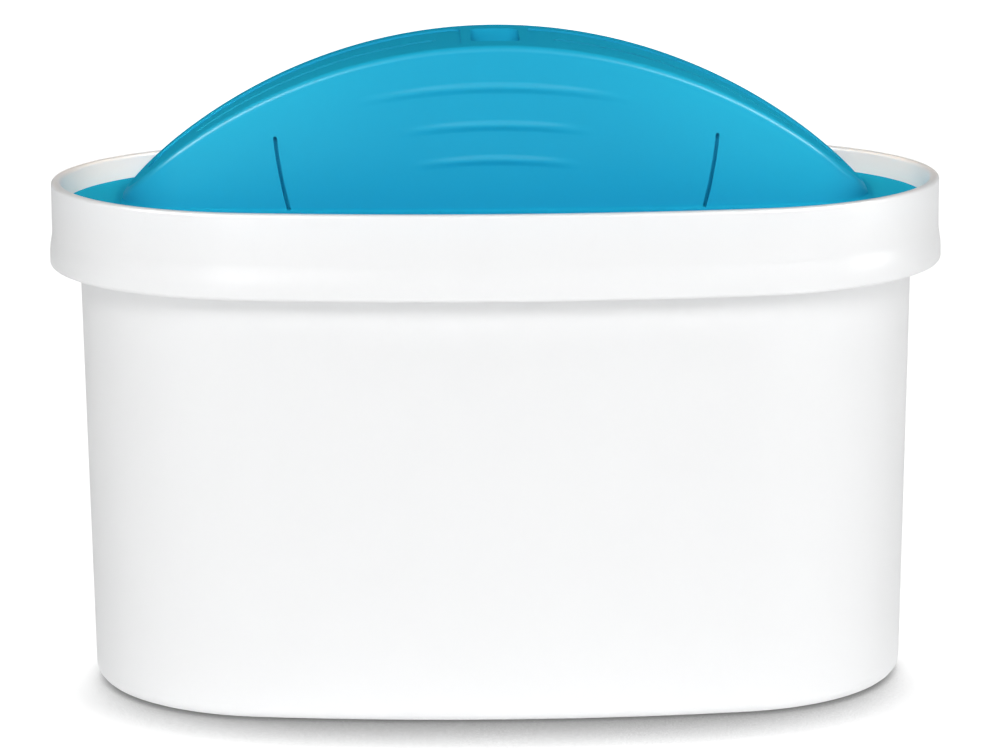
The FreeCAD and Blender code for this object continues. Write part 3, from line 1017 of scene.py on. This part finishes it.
class CARTRIDGE_OT_stage(bpy.types.Operator):
    """Adds the pale floor, the soft lights and the camera"""

    bl_idname = "cartridge.stage"
    bl_label = "Add stage"

    def execute(self, context):
        _, _, _, stage = settings()
        scene = context.scene
        scene.view_settings.view_transform = "Standard"
        self.add_floor()
        self.add_lights(scene)
        self.add_camera(scene, stage)
        return {"FINISHED"}

    def add_floor(self):
        """A wide flat floor, one round face."""
        turn = np.linspace(0, 2 * math.pi, FLOOR_CORNERS, endpoint=False)
        rim = FLOOR_RADIUS * np.column_stack([np.cos(turn), np.sin(turn), np.zeros(FLOOR_CORNERS)])
        mesh = bpy.data.meshes.new("floor")
        mesh.from_pydata(rim.tolist(), [], [list(range(FLOOR_CORNERS))])
        floor = linked("floor", mesh)
        floor.data.materials.append(self.table_material())

    def table_material(self):
        """White matt table with a painted contact shadow where the cartridge stands close over it.

        openness = ambient occlusion over 20 mm about a line that leans back, away from the open side.
        Only the camera sees that shade, so the light that the table gives back to the cartridge is even.
        """
        material, nodes, links, shader, place = new_material("white_table")
        lean = nodes.new("ShaderNodeCombineXYZ")
        lean.inputs["Y"].default_value = 0.74
        lean.inputs["Z"].default_value = 0.67
        openness = nodes.new("ShaderNodeAmbientOcclusion")
        openness.samples = 8
        openness.inputs["Distance"].default_value = 20 * MM
        links.new(lean.outputs["Vector"], openness.inputs["Normal"])
        # Painted contact shadow: the table's colour falls towards DARKEST where ambient occlusion finds the
        # cartridge close
        lit_share = ranged(nodes, links, openness.outputs["AO"], DARKEST, 1.0, OPEN_SPAN)
        ray = nodes.new("ShaderNodeLightPath").outputs["Is Camera Ray"]
        even = nodes.new("ShaderNodeMix")
        even.inputs[NUMBER_A].default_value = 1.0
        links.new(ray, even.inputs[FACTOR])
        links.new(lit_share, even.inputs[NUMBER_B])
        paper = noise(nodes, links, place, scale=900.0, detail=3.0)
        white = blended(nodes, links, paper, (0.79, 0.79, 0.79), (0.81, 0.81, 0.81))
        shaded = nodes.new("ShaderNodeMix")
        shaded.data_type = "RGBA"
        shaded.inputs[COLOUR_A].default_value = (0.0, 0.0, 0.0, 1.0)
        links.new(even.outputs[NUMBER_OUT], shaded.inputs[FACTOR])
        links.new(white, shaded.inputs[COLOUR_B])
        links.new(shaded.outputs[COLOUR_OUT], shader.inputs["Base Color"])
        links.new(shaded.outputs[COLOUR_OUT], shader.inputs["Emission Color"])
        links.new(ranged(nodes, links, ray, *TABLE_GLOW), shader.inputs["Emission Strength"])
        shader.inputs["Roughness"].default_value = 0.9
        shader.inputs["Specular IOR Level"].default_value = 0.1
        return material

    def add_lights(self, scene):
        """White surround, the soft lights, and for each end a warm narrow lamp and an edge light.

        The narrow lamps are aimed at the collar's inner ends. The edge lights light no matt surface, and
        the light behind shows in no reflection.
        """
        world = bpy.data.worlds.new("studio")
        scene.world = world
        world.use_nodes = True
        nodes, links = world.node_tree.nodes, world.node_tree.links
        background = nodes["Background"]
        background.inputs["Color"].default_value = (1.0, 1.0, 1.0, 1.0)
        ray = nodes.new("ShaderNodeLightPath").outputs["Is Camera Ray"]
        links.new(ranged(nodes, links, ray, *WORLD_GLOW), background.inputs["Strength"])
        middle = (0.0, 0.0, 0.04)
        for name, place, size, power in SOFT_LIGHTS:
            area_light(name, place, middle, size, power)
        for side in (-1, 1):
            lamp_place = (-side * 0.47, -0.67, 0.58)
            inner_end = (side * 50 * MM, 11 * MM, CUP_HIGH.z)
            spot_light("inner_end", lamp_place, inner_end, math.radians(2.2), 22.0, WARM)
            rim_light = area_light("edge", (side * 1.0, -0.65, 0.85), middle, (1.4, 0.4), 100.0)
            rim_light.visible_diffuse = False
        back_light = area_light("back", (0.0, 1.6, 0.3), middle, (0.5, 0.5), 9.0)
        back_light.visible_glossy = False

    def add_camera(self, scene, stage):
        """A long lens at the photograph's angle: the view line is turned, raised and rolled."""
        data = bpy.data.cameras.new("camera")
        data.sensor_width = 36.0
        data.lens = stage.lens
        data.clip_end = 100.0
        camera = linked("camera", data)
        rise, turn = stage.elevation, stage.turn
        back = Vector((math.sin(turn) * math.cos(rise), -math.cos(turn) * math.cos(rise), math.sin(rise)))
        aim = Vector((stage.aim_side * math.cos(turn), stage.aim_side * math.sin(turn), stage.aim_height))
        right = Vector((0, 0, 1)).cross(back).normalized()
        up = back.cross(right)
        right_rolled = right * math.cos(stage.roll) + up * math.sin(stage.roll)
        up_rolled = up * math.cos(stage.roll) - right * math.sin(stage.roll)
        rotation = Matrix((right_rolled, up_rolled, back)).transposed()
        camera.matrix_world = Matrix.Translation(aim + back * stage.distance) @ rotation.to_4x4()
        scene.camera = camera


class CARTRIDGE_PT_panel(bpy.types.Panel):
    """Buttons and sizes of the cartridge"""

    bl_idname = "CARTRIDGE_PT_panel"
    bl_label = "Filter cartridge"
    bl_space_type = "VIEW_3D"
    bl_region_type = "UI"
    bl_category = "Cartridge"

    def draw(self, context):
        layout = self.layout
        for operator in OPERATORS:
            layout.operator(operator.bl_idname)
        for group in settings():
            box = layout.box()
            for name in group.__annotations__:
                box.prop(group, name)


OPERATORS = (CARTRIDGE_OT_cup, CARTRIDGE_OT_lid, CARTRIDGE_OT_fill, CARTRIDGE_OT_stage)
GROUPS = {
    "cartridge_cup": CupSizes,
    "cartridge_lid": LidSizes,
    "cartridge_fill": FillSizes,
    "cartridge_stage": StageSizes,
}
CLASSES = (*GROUPS.values(), *OPERATORS, CARTRIDGE_PT_panel)


def register():
    """Registers the classes and hangs the property groups on the scene."""
    for each in CLASSES:
        bpy.utils.register_class(each)
    for name, group in GROUPS.items():
        setattr(bpy.types.Scene, name, PointerProperty(type=group))


def unregister():
    """Takes the property groups off the scene and unregisters the classes."""
    for name in GROUPS:
        delattr(bpy.types.Scene, name)
    for each in reversed(CLASSES):
        bpy.utils.unregister_class(each)


def main():
    register()
    bpy.ops.cartridge.cup()
    bpy.ops.cartridge.lid()
    bpy.ops.cartridge.fill()
    bpy.ops.cartridge.stage()


if __name__ == "__main__":
    main()
